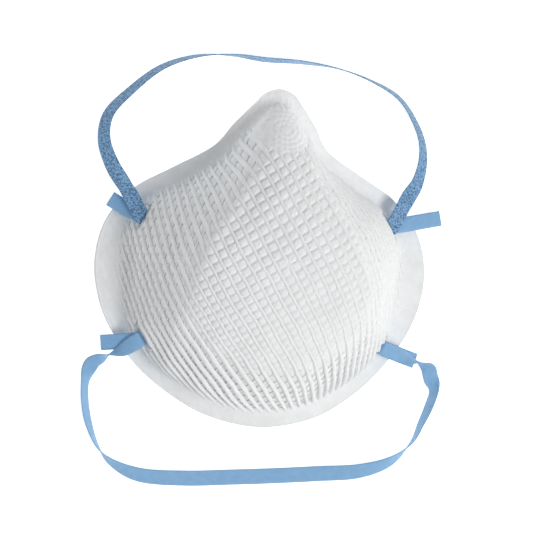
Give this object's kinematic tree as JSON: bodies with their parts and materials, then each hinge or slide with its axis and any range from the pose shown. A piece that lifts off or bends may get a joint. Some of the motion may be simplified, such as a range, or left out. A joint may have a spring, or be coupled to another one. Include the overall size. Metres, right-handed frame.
{
  "type": "disposable dust mask",
  "caption": "Moulded cup dust mask with a raised diamond net over the front, a smooth flange, a soft nose cushion inside, and flat elastic head straps held in slits.",
  "frame": {"origin": "on the plane the mask rests on, below the middle of the mask's outline, straps not counted", "axes": "+Z out of the mask's front, away from the face; +Y towards the nose; +X towards the right-hand side seen from the front"},
  "size_m": [0.1515, 0.179, 0.0556],
  "materials": {
    "net_shell": "white moulded non-woven with a raised white polymer net",
    "web": "thin white non-woven web",
    "filter": "soft white melt-blown fibre",
    "liner": "smooth white moulded polyester felt",
    "foam": "soft light grey open-cell foam",
    "strap": "flat light blue elastic tape"
  },
  "bodies": {
    "cup": {"outer_mesh_shell": "net_shell", "cover_web": "web", "filter_media": "filter", "inner_liner": "liner", "nose_cushion": "foam", "strap_end_upper_left": "strap", "strap_end_upper_right": "strap", "strap_end_lower_left": "strap", "strap_end_lower_right": "strap"},
    "upper_loop": {"upper_strap": "strap"},
    "lower_loop": {"lower_strap": "strap"}
  },
  "joints": [
    {"name": "upper_strap_swing", "type": "hinge", "parent": "cup", "child": "upper_loop", "pos_m": [0, 0.028, 0.0085], "axis": [1, 0, 0], "range_deg": [-90, 115]},
    {"name": "lower_strap_swing", "type": "hinge", "parent": "cup", "child": "lower_loop", "pos_m": [0, -0.0463, 0.005], "axis": [-1, 0, 0], "range_deg": [-90, 90]}
  ]
}
